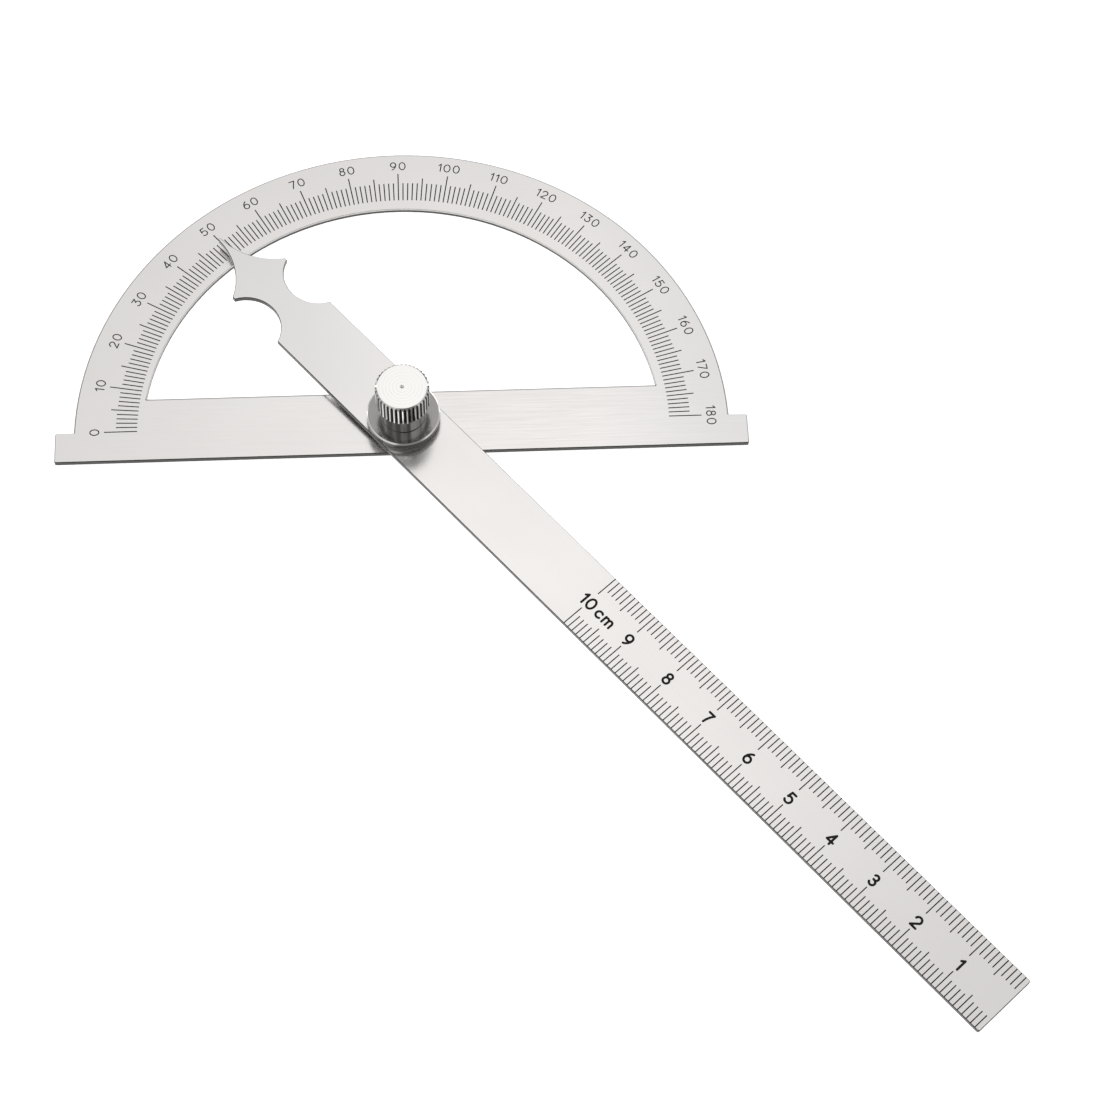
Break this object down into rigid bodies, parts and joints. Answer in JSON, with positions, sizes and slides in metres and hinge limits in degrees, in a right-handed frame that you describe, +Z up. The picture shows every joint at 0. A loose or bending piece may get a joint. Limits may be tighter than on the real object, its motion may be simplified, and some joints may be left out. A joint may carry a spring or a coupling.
{
  "type": "protractor",
  "caption": "Flat steel half-circle protractor with a swinging pointer arm that is also a ruler, clamped at the pivot by a knurled knob.",
  "frame": {"origin": "on the pivot axis, at the flat underside of the dial plate, where the flush stud head lies", "axes": "+Z up and normal to the plate, along the pivot axis; X along the 0-180 line of the scale with 0 at -X; +Y towards the 90 mark"},
  "size_m": [0.1647, 0.1759, 0.0146],
  "materials": {
    "dial_steel": "fine satin, brushed along the base bar",
    "arm_steel": "fine satin",
    "stud_steel": "turned",
    "washer_nylon": "natural nylon",
    "spring_steel": "bright spring steel",
    "washer_steel": "face turned, bright bevel",
    "knob_nickel": "nickel plated, straight knurl",
    "engraving_fill": "black paint in the engraved marks"
  },
  "bodies": {
    "dial": {"dial_plate": "dial_steel", "pivot_stud": "stud_steel", "friction_washer": "washer_nylon"},
    "arm": {"ruler_arm": "arm_steel"},
    "clamp": {"clamp_washer": "washer_steel", "spring_washer": "spring_steel"},
    "knob": {"knurled_knob": "knob_nickel"}
  },
  "joints": [
    {"name": "arm_swing", "type": "hinge", "parent": "dial", "child": "arm", "pos_m": [0, 0, 0.0023], "axis": [0, 0, 1], "continuous": true},
    {"name": "washer_lift", "type": "slide", "parent": "dial", "child": "clamp", "axis": [0, 0, 1], "range_m": [0, 0.0007], "deforming": ["spring_washer"]},
    {"name": "knob_turn", "type": "hinge", "parent": "clamp", "child": "knob", "pos_m": [0, 0, 0.0098], "axis": [0, 0, 1], "range_deg": [0, 360]}
  ],
  "couplings": [
    {"joint": "knob_turn", "follows": "washer_lift", "rad_per_m": 8976}
  ]
}
